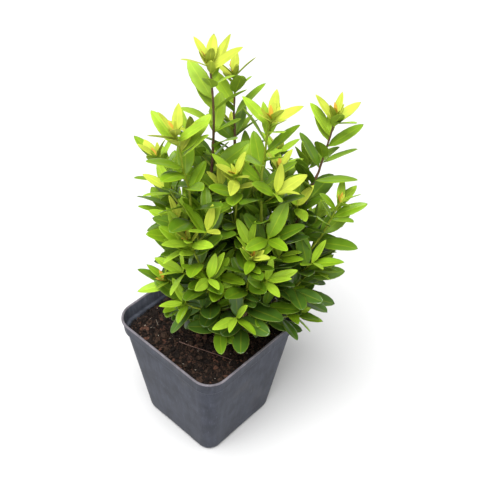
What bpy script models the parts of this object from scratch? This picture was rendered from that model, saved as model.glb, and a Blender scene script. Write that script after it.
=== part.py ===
"""A bushy young evergreen shrub in a square nursery pot.

Metres, +Z up. The origin is the centre of the pot's flat underside, and the pot's
sides run along X and Y. Each sub-part is one closed solid: the pot, its soil, the
woody foot of the plant, a bare stem for each shoot, and the leafy twigs that go on
from that stem. Every shoot grows by the same seeded rule.
"""
import math
import random

import bmesh
import bpy
import numpy as np
from mathutils import Vector, noise
from mathutils.bvhtree import BVHTree

GAP = 0.0003  # kept between neighbouring solids
UP = Vector((0.0, 0.0, 1.0))

# Pot outlines: height, half width, corner radius, depth of the notch between the feet
POT_OUTSIDE = (
    (0.0000, 0.0306, 0.0080, 0.0062),
    (0.0007, 0.0317, 0.0088, 0.0050),
    (0.0030, 0.0327, 0.0098, 0.0000),
    (0.0798, 0.0422, 0.0120, 0.0000),
    (0.0816, 0.0437, 0.0130, 0.0000),
    (0.0896, 0.0442, 0.0132, 0.0000),
    (0.0902, 0.0448, 0.0136, 0.0000),
    (0.0912, 0.0450, 0.0138, 0.0000),
    (0.0918, 0.0448, 0.0136, 0.0000),
    (0.0920, 0.0444, 0.0132, 0.0000),
)
POT_INSIDE = (
    (0.0920, 0.0438, 0.0127, 0.0000),
    (0.0915, 0.0434, 0.0123, 0.0000),
    (0.0826, 0.0428, 0.0120, 0.0000),
    (0.0808, 0.0413, 0.0112, 0.0000),
    (0.0041, 0.0318, 0.0090, 0.0000),
    (0.0017, 0.0307, 0.0080, 0.0054),
    (0.0010, 0.0297, 0.0072, 0.0064),
)
SOIL_OUTSIDE = (
    (0.0014, 0.0284, 0.0066, 0.0084),
    (0.0080, 0.0315, 0.0090, 0.0000),
    (0.0788, 0.0405, 0.0108, 0.0000),
)
CORNER_STEPS = 5
# Notch between two feet: place along the side, share of the notch's depth there
NOTCH_STEPS = ((-0.0150, 0.0), (-0.0110, 1.0), (0.0110, 1.0), (0.0150, 0.0))
DRAIN_RADIUS = 0.0030
DRAIN_PLACES = (0.0, 0.0185)  # drain holes lie on this grid, but for its centre
DRAIN_SIDES = 10
DRAIN_REACH = (-0.0020, 0.0035)  # heights that a drain hole's cut spans

SOIL_TOP = 0.0800
SOIL_RINGS = (0.93, 0.78, 0.61, 0.44, 0.27, 0.12)  # share of the outline's width
SOIL_LUMPS = 0.0013
SOIL_LEVEL = 0.008  # round the woody foot the soil is level out to this distance

FOOT = Vector((0.0134, -0.0114, SOIL_TOP + GAP))
# Woody foot: height above its flat cut, radius, share that its ribs stand out
CROWN_RINGS = (
    (0.0000, 0.0060, 0.16),
    (0.0016, 0.0052, 0.12),
    (0.0045, 0.0044, 0.05),
    (0.0090, 0.0040, 0.00),
    (0.0125, 0.0036, 0.00),
    (0.0140, 0.0022, 0.00),
)
CROWN_RIBS = 5
CROWN_SIDES = 15

# Kinds of shoot: height where it leaves the foot, rise of its first and last run in
# degrees, radius there, share that is bare, side twigs, spacing of its leaves
KINDS = {
    "leader": (0.0118, 62.0, 80.0, 0.00150, 0.26, 4, 0.0092),
    "inner": (0.0145, 84.0, 80.0, 0.00140, 0.34, 3, 0.0092),
    "side": (0.0070, 38.0, 68.0, 0.00125, 0.32, 3, 0.0084),
    "low": (0.0040, 16.0, 50.0, 0.00105, 0.38, 2, 0.0080),
}
# Shoots: name, kind, heading in degrees, reach from the foot, height, first heading
SHOOTS = (
    ("top", "leader", 109.0, 0.020, 0.196, 118.0),
    ("front", "leader", -90.0, 0.020, 0.176, -94.0),
    ("left", "leader", 168.0, 0.042, 0.172, 178.0),
    ("right", "leader", -22.0, 0.060, 0.152, -32.0),
    ("back", "leader", 49.0, 0.046, 0.166, 40.0),
    ("middle", "inner", -150.0, 0.012, 0.138, -150.0),
    ("side_right", "side", -41.0, 0.060, 0.104, -57.0),
    ("side_front", "side", -123.0, 0.033, 0.094, -126.0),
    ("side_left", "side", -176.0, 0.044, 0.108, -166.0),
    ("side_back_left", "side", 105.0, 0.056, 0.120, 84.0),
    ("side_back_right", "side", 20.0, 0.062, 0.104, 14.0),
    ("side_near_right", "side", 2.0, 0.036, 0.112, -21.0),
    ("side_near_back", "side", 76.0, 0.034, 0.104, 49.0),
    ("side_near_left", "side", 144.0, 0.037, 0.100, 138.0),
    ("low_right", "low", -47.0, 0.050, 0.056, -42.0),
    ("low_front", "low", -63.0, 0.036, 0.034, -84.0),
    ("low_back_right", "low", -8.0, 0.064, 0.058, -4.0),
    ("low_back", "low", 71.0, 0.056, 0.058, 62.0),
    ("low_left", "low", 150.0, 0.046, 0.056, 148.0),
)
START_PULL = 0.33  # share of a shoot's span that its first direction holds
END_PULL = 0.36
WHOLE_STEPS = 40
BOUGH_STEPS = 7
BOUGH_SIDES = 5
STEM_STEP = 0.012  # length of one straight run of a leafy stem
STEM_SIDES = 3
TIP_RADIUS = 0.00050
WIGGLE = 0.0010
WIGGLE_PACE = 7.0  # small bends along one shoot

LEAF_LENGTH = 0.0285
LEAF_SHAPE = 0.48  # width over length
LEAF_THICKNESS = 0.00045
LEAF_WIDEST = 0.47  # share of the length
LEAF_THICKEST = 0.36
LEAF_FOLD = 0.16
LEAF_DROOP = 0.07
LEAF_DIP = -0.1  # no leaf points further down than this
LEAF_FACING = 0.9  # how much the faces turn up rather than along the stem
BLADE_SHARE = 0.72  # outer part of a leaf that others on its own twigs keep off
TURN = 137.5  # each leaf stands this far round the stem from the last
REACH = 0.048  # a leaf's tip lies within this of its own stem
SLACK = 0.007  # and at most this much nearer to another stem
TRIES = ((0, 1.0), (28, 1.0), (-28, 1.0), (55, 0.92), (-55, 0.92), (15, 0.78), (-75, 0.8))

# Leaves along a stem, as shares of the whole or degrees off the stem
FIRST_LEAF = 0.004  # distance from where the leafy run starts
LAST_LEAF = 0.006  # distance from its tip
LEAF_SPREAD = (40.0, 22.0, 6.0)  # young, added for the oldest, give or take
LEAF_SIZE = (0.80, 0.28, 1.6)  # young, added for old, how soon a leaf is full-grown
LEAF_CHANCE = (0.92, 1.06)
LEAF_PACE = (0.72, 0.40)  # spacing at the tip, added at the oldest end

# Rosette round a growing tip
STAR_LEAVES = 5
STAR_STEP = 0.0011
STAR_TURN = 144.0
STAR_SPREAD = (28.0, 7.0)  # innermost leaf, added for each next one
STAR_SIZE = (0.80, 0.08)
STAR_LENGTH = 0.66 * LEAF_LENGTH
TIP_SEAT = 0.0002  # the innermost leaf sits this far below the tip

# Side twigs
TWIG_RADIUS = 0.00060
TWIG_TAPER = (1.0, 0.92, 0.85, 0.70)
TWIG_PLACES = (0.06, 0.62)  # first place and span, as shares of the leafy stem
TWIG_TURNS = (70.0, 222.5)  # first, and from one twig to the next
TWIG_LENGTH = (0.020, 0.030)
TWIG_SHORTER = 0.35  # share by which the highest twigs are shorter
TWIG_START = (0.60, 0.80)  # along the stem, away from it
TWIG_BEND = 0.22
TWIG_LEAFY = (0.35, 0.93)
TWIG_SPACING = 0.0085
TWIG_LEAF_SPREAD = 55.0
TWIG_LEAF_SIZE = (0.70, 0.88)
TWIG_STAR_LENGTH = 0.72 * LEAF_LENGTH

COLOURS = {
    "pot": (0.075, 0.083, 0.105),
    "soil": (0.030, 0.018, 0.012),
    "wood": (0.190, 0.125, 0.070),
    "young_wood": (0.200, 0.210, 0.050),
    "leader": (0.300, 0.430, 0.040),
    "inner": (0.210, 0.370, 0.035),
    "side": (0.170, 0.330, 0.030),
    "low": (0.110, 0.250, 0.028),
}


def clear_scene():
    for thing in list(bpy.data.objects):
        bpy.data.objects.remove(thing)


def material(name, colour, roughness):
    made = bpy.data.materials.new(name)
    made.use_nodes = True
    shader = made.node_tree.nodes["Principled BSDF"]
    shader.inputs["Base Color"].default_value = (*colour, 1.0)
    shader.inputs["Roughness"].default_value = roughness
    shader.inputs["Metallic"].default_value = 0.0
    return made


def add_object(name, shape, look=None, smooth_angle=None):
    """Make an object from a (points, faces) pair."""
    mesh = bpy.data.meshes.new(name)
    mesh.from_pydata([tuple(point) for point in shape[0]], [], shape[1])
    mesh.update()
    if smooth_angle is not None:
        mesh.shade_smooth()
        mesh.set_sharp_from_angle(angle=math.radians(smooth_angle))
    made = bpy.data.objects.new(name, mesh)
    bpy.context.scene.collection.objects.link(made)
    if look is not None:
        mesh.materials.append(look)
    return made


def move_to(group, thing):
    bpy.context.scene.collection.objects.unlink(thing)
    group.objects.link(thing)


def new_group(name):
    group = bpy.data.collections.new(name)
    bpy.context.scene.collection.children.link(group)
    return group


def empty_group(group):
    for thing in list(group.objects):
        bpy.data.objects.remove(thing)
    bpy.data.collections.remove(group)


def combine(body, operation, group):
    """Cut or join a body with all the objects of a group, and clear the group."""
    change = body.modifiers.new("combine", "BOOLEAN")
    change.operation = operation
    change.solver = "EXACT"
    change.operand_type = "COLLECTION"
    change.collection = group
    graph = bpy.context.evaluated_depsgraph_get()
    done = bpy.data.meshes.new_from_object(body.evaluated_get(graph))
    body.modifiers.clear()
    old = body.data
    body.data = done
    bpy.data.meshes.remove(old)
    empty_group(group)


def heading(degrees):
    turn = math.radians(degrees)
    return Vector((math.cos(turn), math.sin(turn), 0.0))


def rise(degrees, level):
    """A direction that climbs at this angle above a level one."""
    turn = math.radians(degrees)
    return (level * math.cos(turn) + UP * math.sin(turn)).normalized()


def around(stem, degrees):
    """A direction square to a stem, turned round it."""
    side = stem.orthogonal().normalized()
    other = stem.cross(side)
    turn = math.radians(degrees)
    return side * math.cos(turn) + other * math.sin(turn)


def square_ring(height, half, radius, notch):
    """One level outline of the pot: rounded corners, and a notch in each side."""
    ring = []
    for side in range(4):
        along = heading(90.0 * side + 90.0)
        out = heading(90.0 * side)
        for place, share in NOTCH_STEPS:
            ring.append(out * (half - share * notch) + along * place + UP * height)
        centre = (out + along) * (half - radius) + UP * height
        for step in range(CORNER_STEPS + 1):
            ring.append(centre + heading(90.0 * side + 90.0 * step / CORNER_STEPS) * radius)
    return ring


def loft(rings):
    """Skin a stack of rings of equal length and close both its ends."""
    count = len(rings[0])
    points = [point for ring in rings for point in ring]
    faces = []
    for level in range(len(rings) - 1):
        low = level * count
        high = low + count
        for place in range(count):
            after = (place + 1) % count
            faces.append((low + place, low + after, high + after, high + place))
    faces.append(tuple(reversed(range(count))))
    faces.append(tuple(range(len(points) - count, len(points))))
    return points, faces


def tube(path, radii, sides):
    """A closed limb along a path, with flat ends."""
    rings = []
    side = (path[1] - path[0]).orthogonal().normalized()
    for place, centre in enumerate(path):
        before = path[max(place - 1, 0)]
        after = path[min(place + 1, len(path) - 1)]
        along = (after - before).normalized()
        side = (side - along * side.dot(along)).normalized()
        other = along.cross(side)
        ring = []
        for step in range(sides):
            turn = 2.0 * math.pi * step / sides
            ring.append(centre + (side * math.cos(turn) + other * math.sin(turn)) * radii[place])
        rings.append(ring)
    return loft(rings)


def leaf(root, along, face, length):
    """An eight-sided blade: folded a little along its rib, its tip bent down."""
    across = along.cross(face).normalized()
    half = 0.5 * LEAF_SHAPE * length
    thick = 0.5 * LEAF_THICKNESS
    widest = root + along * (LEAF_WIDEST * length) + face * (LEAF_FOLD * half)
    thickest = root + along * (LEAF_THICKEST * length)
    points = [
        root,
        root + along * length - face * (LEAF_DROOP * length),
        widest + across * half,
        widest - across * half,
        thickest + face * thick,
        thickest - face * thick,
    ]
    faces = [(0, 2, 4), (2, 1, 4), (1, 3, 4), (3, 0, 4), (2, 0, 5), (1, 2, 5), (3, 1, 5), (0, 3, 5)]
    return points, faces


def make_pot():
    rings = [square_ring(*level) for level in POT_OUTSIDE + POT_INSIDE]
    pot = add_object("pot", loft(rings), material("slate_plastic", COLOURS["pot"], 0.55), 35.0)
    cutters = new_group("drain_cutters")
    low, high = DRAIN_PLACES
    for x in (-high, low, high):
        for y in (-high, low, high):
            if x == low and y == low:
                continue
            path = [Vector((x, y, height)) for height in DRAIN_REACH]
            cutter = tube(path, (DRAIN_RADIUS, DRAIN_RADIUS), DRAIN_SIDES)
            move_to(cutters, add_object("drain", cutter))
    combine(pot, "DIFFERENCE", cutters)
    return pot


def soil_height(x, y):
    """Lumpy soil that lies level and a little lower round the woody foot."""
    lumps = noise.noise(Vector((x, y, 0.3)) * 70.0) + 0.5 * noise.noise(Vector((x, y, 1.7)) * 190.0)
    away = math.hypot(x - FOOT.x, y - FOOT.y)
    share = min(max((away - SOIL_LEVEL) / SOIL_LEVEL, 0.0), 1.0)
    return SOIL_TOP + share * (SOIL_LUMPS * lumps - GAP)


def make_soil():
    rings = [square_ring(*level) for level in SOIL_OUTSIDE]
    edge = rings[-1]
    for share in SOIL_RINGS:
        ring = []
        for point in edge:
            x = point.x * share + FOOT.x * (1.0 - share)
            y = point.y * share + FOOT.y * (1.0 - share)
            ring.append(Vector((x, y, soil_height(x, y))))
        rings.append(ring)
    return add_object("soil", loft(rings), material("peat", COLOURS["soil"], 0.95), 60.0)


def make_crown():
    """The woody foot, ribbed where its roots flare into the soil."""
    rings = []
    for height, radius, rib in CROWN_RINGS:
        ring = []
        for step in range(CROWN_SIDES):
            turn = 2.0 * math.pi * step / CROWN_SIDES
            swell = 1.0 + rib * math.cos(CROWN_RIBS * turn)
            ring.append(FOOT + heading(math.degrees(turn)) * (radius * swell) + UP * height)
        rings.append(ring)
    return add_object("root_crown", loft(rings), material("old_bark", COLOURS["wood"], 0.85), 50.0)


def crown_radius(height):
    levels = [ring[0] for ring in CROWN_RINGS]
    radii = [ring[1] * (1.0 + ring[2]) for ring in CROWN_RINGS]
    return float(np.interp(height, levels, radii))


def bezier(p0, p1, p2, p3, t):
    s = 1.0 - t
    return p0 * s ** 3 + p1 * (3.0 * s * s * t) + p2 * (3.0 * s * t * t) + p3 * t ** 3


def shoot_curve(shoot):
    """The smooth course of a shoot, from the woody foot to its growing tip."""
    kind, out, reach, height, first = shoot[1:]
    start_height, first_rise, last_rise, radius = KINDS[kind][:4]
    start = FOOT + UP * start_height
    if start_height < CROWN_RINGS[-1][0]:
        lean = radius * math.sin(math.radians(first_rise))
        start += heading(first) * (crown_radius(start_height) + lean + GAP)
    tip = FOOT + heading(out) * reach + UP * height
    span = (tip - start).length
    start_run = rise(first_rise, heading(first))
    end_run = rise(last_rise, heading(out))
    return start, start + start_run * (START_PULL * span), tip - end_run * (END_PULL * span), tip


def shoot_point(curve, bends, t):
    """A point on the shoot, with its small bends; none at its start."""
    sway_x = noise.noise(Vector((t * WIGGLE_PACE, bends, 0.0)))
    sway_y = noise.noise(Vector((t * WIGGLE_PACE, bends, 9.0)))
    share = 2.0 * WIGGLE * min(4.0 * t, 1.0)
    return bezier(*curve, t) + Vector((sway_x, sway_y, 0.0)) * share


def path_lengths(path):
    lengths = [0.0]
    for before, after in zip(path, path[1:]):
        lengths.append(lengths[-1] + (after - before).length)
    return lengths


def along_path(path, lengths, distance):
    """The point and the direction of a path at a distance from its start."""
    place = 0
    while place < len(lengths) - 2 and lengths[place + 1] < distance:
        place += 1
    run = path[place + 1] - path[place]
    share = (distance - lengths[place]) / (lengths[place + 1] - lengths[place])
    return path[place] + run * share, run.normalized()


def plan_shoot(number, shoot):
    """Work out a shoot's bare run and leafy run, with their radii."""
    name, kind = shoot[:2]
    radius, bare = KINDS[kind][3:5]
    curve = shoot_curve(shoot)
    bends = 3.1 * number

    def run_of(start, end, steps):
        shares = [start + (end - start) * step / steps for step in range(steps + 1)]
        return [shoot_point(curve, bends, share) for share in shares]

    def taper(start, end, steps):
        return [start + (end - start) * step / steps for step in range(steps + 1)]

    whole = run_of(0.0, 1.0, WHOLE_STEPS)
    bough = run_of(0.0, bare, BOUGH_STEPS)
    last_run = (bough[-1] - bough[-2]).length
    leafy_from = bare + GAP / last_run * bare / BOUGH_STEPS
    runs = max(3, round(path_lengths(whole)[-1] * (1.0 - bare) / STEM_STEP))
    join = radius + (TIP_RADIUS - radius) * bare
    return {
        "name": name,
        "kind": kind,
        "whole": whole,
        "bough": bough,
        "leafy": run_of(leafy_from, 1.0, runs),
        "bough_radii": taper(radius, join, BOUGH_STEPS),
        "leafy_radii": taper(join, TIP_RADIUS, runs),
    }


def distances(points, path):
    """Least distance of each point from a path given by close points."""
    track = np.array([tuple(point) for point in path])
    spots = np.array([tuple(point) for point in points])
    return np.linalg.norm(spots[:, None, :] - track[None, :, :], axis=2).min(axis=1)


def tree_of(shapes):
    points = []
    faces = []
    for shape_points, shape_faces in shapes:
        first = len(points)
        points.extend(shape_points)
        faces.extend(tuple(first + corner for corner in face) for face in shape_faces)
    return BVHTree.FromPolygons(points, faces)


def thick_leaf(shape):
    """The leaf with clearance on both faces and past its tip."""
    points, faces = shape
    face = (points[4] - points[5]).normalized()
    middle = sum(points, Vector()) / len(points)
    grown = [point + (point - middle).normalized() * (1.5 * GAP) for point in points]
    grown[4] += face * GAP
    grown[5] -= face * GAP
    return grown, faces


def blade(shape):
    """The outer part of a leaf, which other leaves of its own twigs keep off."""
    points, faces = shape
    middle = points[0].lerp(points[1], 0.55)
    return [middle.lerp(point, BLADE_SHARE) for point in points], faces


class Growth:
    """Twigs and leaves of one shoot, kept clear of all that stands round it."""

    def __init__(self, plan, rivals, fixed):
        self.own = plan["whole"]
        self.rivals = rivals
        self.fixed = fixed
        self.twigs = []
        self.leaves = []
        self.blades = []

    def in_space(self, points):
        mine = distances(points, self.own)
        if mine.max() > REACH:
            return False
        for rival in self.rivals:
            if (mine - distances(points, rival)).max() > SLACK:
                return False
        return True

    def add_leaf(self, root, stem, round_turn, spread, length):
        """Try a leaf at this turn round the stem, then near it, then smaller."""
        open_angle = math.radians(spread)
        for nudge, share in TRIES:
            out = around(stem, round_turn + nudge)
            along = (stem * math.cos(open_angle) + out * math.sin(open_angle)).normalized()
            if along.z < LEAF_DIP:
                along = (along + UP * (LEAF_DIP - along.z)).normalized()
            face = stem + UP * LEAF_FACING
            face = (face - along * face.dot(along)).normalized()
            shape = leaf(root - along * GAP, along, face, length * share)
            if not self.in_space(shape[0][1:4]):
                continue
            if self.fixed.overlap(tree_of([thick_leaf(shape)])):
                continue
            outer = blade(shape)
            if self.blades and tree_of(self.blades).overlap(tree_of([outer])):
                continue
            self.leaves.append(shape)
            self.blades.append(outer)
            return

    def add_twig(self, path, radii):
        guard = tube(path, [radius + 2.0 * GAP for radius in radii], STEM_SIDES)
        if not self.in_space(path) or self.fixed.overlap(tree_of([guard])):
            return False
        self.twigs.append(tube(path, radii, STEM_SIDES))
        return True


def star(growth, tip, stem, turn, length, count):
    """The rosette of young leaves round a growing tip, the innermost the smallest."""
    for place in range(count):
        root = tip - stem * (STAR_STEP * place)
        spread = STAR_SPREAD[0] + STAR_SPREAD[1] * place
        size = STAR_SIZE[0] + STAR_SIZE[1] * place
        growth.add_leaf(root, stem, turn + STAR_TURN * place, spread, length * size)


def grow_twig(growth, rng, root, stem, turn, length):
    """A side twig: it leaves the stem, bends up, bears leaves and ends in a rosette."""
    run = (stem * TWIG_START[0] + around(stem, turn) * TWIG_START[1]).normalized()
    path = [root]
    for _ in TWIG_TAPER[1:]:
        run = (run + UP * TWIG_BEND).normalized()
        path.append(path[-1] + run * (length / (len(TWIG_TAPER) - 1)))
    if not growth.add_twig(path, [TWIG_RADIUS * share for share in TWIG_TAPER]):
        return
    lengths = path_lengths(path)
    place = TWIG_LEAFY[0] * length
    leaf_turn = turn + 90.0
    while place < TWIG_LEAFY[1] * length:
        point, along = along_path(path, lengths, place)
        size = LEAF_LENGTH * rng.uniform(*TWIG_LEAF_SIZE)
        growth.add_leaf(point, along, leaf_turn, TWIG_LEAF_SPREAD, size)
        leaf_turn += TURN
        place += TWIG_SPACING
    tip, along = along_path(path, lengths, lengths[-1] - TIP_SEAT)
    star(growth, tip, along, leaf_turn, TWIG_STAR_LENGTH, STAR_LEAVES - 1)


def grow_shoot(growth, plan, number):
    """Leaves all along the stem, side twigs on its lower part, a rosette on top."""
    rng = random.Random(100 + number)
    twigs, spacing = KINDS[plan["kind"]][5:7]
    path = plan["leafy"]
    growth.twigs.append(tube(path, plan["leafy_radii"], STEM_SIDES))
    lengths = path_lengths(path)
    total = lengths[-1]
    turn = rng.uniform(0.0, 360.0)
    tip, along = along_path(path, lengths, total - TIP_SEAT)
    star(growth, tip, along, turn, STAR_LENGTH, STAR_LEAVES)
    for twig in range(twigs):
        place = total * (TWIG_PLACES[0] + TWIG_PLACES[1] * twig / twigs)
        point, along = along_path(path, lengths, place)
        length = rng.uniform(*TWIG_LENGTH) * (1.0 - TWIG_SHORTER * place / total)
        grow_twig(growth, rng, point, along, turn + TWIG_TURNS[0] + TWIG_TURNS[1] * twig, length)
    place = FIRST_LEAF
    while place < total - LAST_LEAF:
        point, along = along_path(path, lengths, place)
        age = 1.0 - place / total
        spread = LEAF_SPREAD[0] + LEAF_SPREAD[1] * age + rng.uniform(-LEAF_SPREAD[2], LEAF_SPREAD[2])
        size = LEAF_SIZE[0] + LEAF_SIZE[1] * min(LEAF_SIZE[2] * age, 1.0)
        growth.add_leaf(point, along, turn, spread, LEAF_LENGTH * size * rng.uniform(*LEAF_CHANCE))
        turn += TURN
        place += spacing * (LEAF_PACE[0] + LEAF_PACE[1] * age)


def keep_main_body(thing):
    """Drop loose scraps and the walls of sealed hollows."""
    shape = bmesh.new()
    shape.from_mesh(thing.data)
    waiting = set(shape.verts)
    bodies = []
    while waiting:
        found = {waiting.pop()}
        front = list(found)
        while front:
            spot = front.pop()
            for link in spot.link_edges:
                near = link.other_vert(spot)
                if near not in found:
                    found.add(near)
                    front.append(near)
        waiting -= found
        bodies.append(found)
    bodies.sort(key=len, reverse=True)
    for body in bodies[1:]:
        bmesh.ops.delete(shape, geom=list(body), context="VERTS")
    shape.to_mesh(thing.data)
    shape.free()


def fuse(name, shapes, look):
    """Join overlapping shapes into one closed solid."""
    group = new_group(name + "_pieces")
    body = add_object(name, shapes[0], look)
    for shape in shapes[1:]:
        move_to(group, add_object(name + "_piece", shape))
    combine(body, "UNION", group)
    keep_main_body(body)
    return body


def pinched_spots(thing):
    """Places where the solid touches itself along an edge."""
    mesh = thing.data
    grid = [tuple(round(value * 1e7) for value in vertex.co) for vertex in mesh.vertices]
    uses = {}
    for face in mesh.polygons:
        corners = [grid[index] for index in face.vertices]
        for start, end in zip(corners, corners[1:] + corners[:1]):
            if start != end:
                uses.setdefault((min(start, end), max(start, end)), []).append(start)
    return [Vector(edge[0]) * 1e-7 for edge, users in uses.items() if len(users) > 2]


def fuse_mass(name, growth, look):
    """Fuse a mass, leaving out a leaf wherever the solid would touch itself."""
    body = fuse(name, growth.twigs + growth.leaves, look)
    spots = pinched_spots(body)
    while spots:
        worst = min(growth.leaves, key=lambda shape: (shape[0][0] - spots[0]).length)
        growth.leaves.remove(worst)
        bpy.data.objects.remove(body)
        body = fuse(name, growth.twigs + growth.leaves, look)
        spots = pinched_spots(body)


def shape_of(thing):
    points = [vertex.co.copy() for vertex in thing.data.vertices]
    faces = [tuple(face.vertices) for face in thing.data.polygons]
    return points, faces


def guard_of(path, radii, sides):
    """A limb with its clearance."""
    return tube(path, [radius + GAP for radius in radii], sides)


def make_plant(pot, soil):
    crown = make_crown()
    plans = [plan_shoot(number, shoot) for number, shoot in enumerate(SHOOTS)]
    wood = material("young_bark", COLOURS["young_wood"], 0.7)
    looks = {kind: material("leaves_" + kind, COLOURS[kind], 0.42) for kind in KINDS}
    standing = [shape_of(pot), shape_of(soil), shape_of(crown)]
    for plan in plans:
        bough = tube(plan["bough"], plan["bough_radii"], BOUGH_SIDES)
        add_object("stem_" + plan["name"], bough, wood, 50.0)
        standing.append(guard_of(plan["bough"][:-1], plan["bough_radii"][:-1], BOUGH_SIDES))
        plan["guard"] = guard_of(plan["leafy"], plan["leafy_radii"], STEM_SIDES)
    for number, plan in enumerate(plans):
        rivals = [other["whole"] for other in plans if other is not plan]
        others = [other["guard"] for other in plans[number + 1:]]
        growth = Growth(plan, rivals, tree_of(standing + others))
        grow_shoot(growth, plan, number)
        fuse_mass("foliage_" + plan["name"], growth, looks[plan["kind"]])
        standing.extend(growth.twigs)
        standing.extend(growth.leaves)


clear_scene()
made_pot = make_pot()
made_soil = make_soil()
make_plant(made_pot, made_soil)
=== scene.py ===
"""Looks for the potted evergreen shrub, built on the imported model.

The shoots grow by the seeded rule of the solids, so each fine leaf stands where its
plain solid does, and small extra sprigs fill in between.
"""
import math
import random
from types import SimpleNamespace

import bmesh
import bpy
import numpy as np
from mathutils import Matrix, Vector, noise
from mathutils.bvhtree import BVHTree


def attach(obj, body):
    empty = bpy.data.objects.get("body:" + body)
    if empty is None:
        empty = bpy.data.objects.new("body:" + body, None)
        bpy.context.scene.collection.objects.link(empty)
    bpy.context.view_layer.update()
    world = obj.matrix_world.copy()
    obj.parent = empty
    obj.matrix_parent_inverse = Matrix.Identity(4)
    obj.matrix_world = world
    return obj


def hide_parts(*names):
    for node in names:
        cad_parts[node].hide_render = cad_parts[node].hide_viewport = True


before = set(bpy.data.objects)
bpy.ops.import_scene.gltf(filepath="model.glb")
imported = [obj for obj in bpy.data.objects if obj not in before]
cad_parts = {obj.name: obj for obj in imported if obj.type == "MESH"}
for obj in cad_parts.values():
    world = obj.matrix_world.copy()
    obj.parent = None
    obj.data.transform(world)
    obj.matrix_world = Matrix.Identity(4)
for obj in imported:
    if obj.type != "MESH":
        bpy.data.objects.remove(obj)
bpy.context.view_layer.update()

MM = 0.001
GAP = 0.0003
UP = Vector((0.0, 0.0, 1.0))

# Outlines in mm of the pot and of the soil's body: height, half width, corner radius,
# depth of a notch between the feet
POT_OUTSIDE = (
    (0, 30.6, 8, 6.2),
    (0.7, 31.7, 8.8, 5),
    (1.8, 32.3, 9.4, 2.2),
    (3, 32.7, 9.8),
    (3.6, 32.9, 10),
    (79, 42.1, 12),
    (79.8, 42.2, 12),
    (80.4, 42.6, 12.3),
    (81.2, 43.4, 12.8),
    (81.8, 43.7, 13),
    (82.6, 43.8, 13),
    (89.4, 44.2, 13.2),
    (89.8, 44.4, 13.3),
    (90.2, 44.8, 13.6),
    (90.7, 45, 13.8),
    (91.2, 45, 13.8),
    (91.7, 44.9, 13.7),
    (92, 44.5, 13.3),
)
POT_INSIDE = (
    (92, 43.9, 12.8),
    (91.8, 43.6, 12.5),
    (91.3, 43.4, 12.3),
    (83, 42.8, 12),
    (82.4, 42.7, 11.9),
    (81.8, 42.2, 11.6),
    (81.2, 41.5, 11.3),
    (80.4, 41.3, 11.2),
    (4.1, 31.8, 9),
    (1.7, 30.7, 8, 5.4),
    (1, 29.7, 7.2, 6.4),
)
SOIL_BODY = ((1.4, 28.4, 6.6, 8.4), (8, 31.5, 9), (77, 40.3, 10.8))
CORNER_STEPS = 10
# Notch between two feet: place along the side in mm, share of the notch's depth there
NOTCH_STEPS = ((-15, 0), (-11, 1), (11, 1), (15, 0))
EDGE_FROM = 0.0911  # height of the rim's paler edge
POT_CREASE = 50
DRAIN_RADIUS = 0.003
DRAIN_GRID = (-0.0185, 0, 0.0185)  # drain holes lie on this grid, but for its centre
DRAIN_SIDES = 24
DRAIN_REACH = (-0.002, 0.0035)
# Plastic of the wall, the edge and the inside: darkest and lightest tone, roughness. The inside is the
# same plastic painted lighter than the wall, as painted light where the lamps barely reach
PLASTICS = (
    ("slate_plastic_wall", (0.021, 0.024, 0.036), (0.044, 0.05, 0.071), 0.5),
    ("slate_plastic_edge", (0.11, 0.102, 0.114), (0.18, 0.166, 0.186), 0.46),
    ("slate_plastic_inner_painted_light", (0.05, 0.055, 0.07), (0.098, 0.107, 0.134), 0.5),
)
DUST = (0.105, 0.098, 0.098)
POT_GLOSS = 0.14

SOIL_TOP = 0.08
SOIL_LUMPS = 0.0013
SOIL_WAVES = ((70, 1, 0.3), (190, 0.5, 1.7))  # pace, share and seed of its lumps
SOIL_LEVEL = 0.008  # round the woody foot the soil is level out to this distance
SOIL_CREASE = 70
SOIL_HALF = 0.0408  # half width and corner radius of the soil's surface
SOIL_CORNER = 0.011
SOIL_GRID = 168
SOIL_SKIRT = 0.0755  # height where the edge of the surface ends in the body
PEAT_LUMPS = ((0.0054, 0.002), (0.0026, 0.0015))  # size, height
PEAT_TOP = 0.65  # share of a lump's height that stands above the mean
PEAT_SWAY = (300, 0.001)  # pace and reach of the wavering of their edges
PEAT_GRAIN = (900, 0.0003)
PEAT_TONES = (0.42, 0.8)  # lumps above these shares are dark, then brown
PEAT_SHADE_DEPTH = -0.0012  # faces this far below the mean are black: painted shade in the gaps between lumps
# Peat of the surface, and of the loose grains: darkest and lightest tone, scale of the grain
BED_TONES = (
    # The black peat also serves as painted shade in the gaps between lumps
    ("peat_bed_black_and_gap_shade", (0.003, 0.0022, 0.0018), (0.014, 0.009, 0.007), 520),
    ("peat_bed_dark", (0.006, 0.004, 0.003), (0.036, 0.021, 0.015), 520),
    ("peat_bed_brown", (0.016, 0.009, 0.006), (0.07, 0.042, 0.03), 520),
)
GRAIN_TONES = (
    ("peat_dark", (0.0035, 0.0025, 0.002), (0.024, 0.015, 0.011), 800),
    ("peat_brown", (0.015, 0.0085, 0.0055), (0.07, 0.04, 0.026), 700),
    ("peat_reddish", (0.045, 0.019, 0.012), (0.13, 0.062, 0.04), 700),
    ("peat_pale", (0.16, 0.13, 0.1), (0.4, 0.35, 0.29), 700),
)
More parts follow.
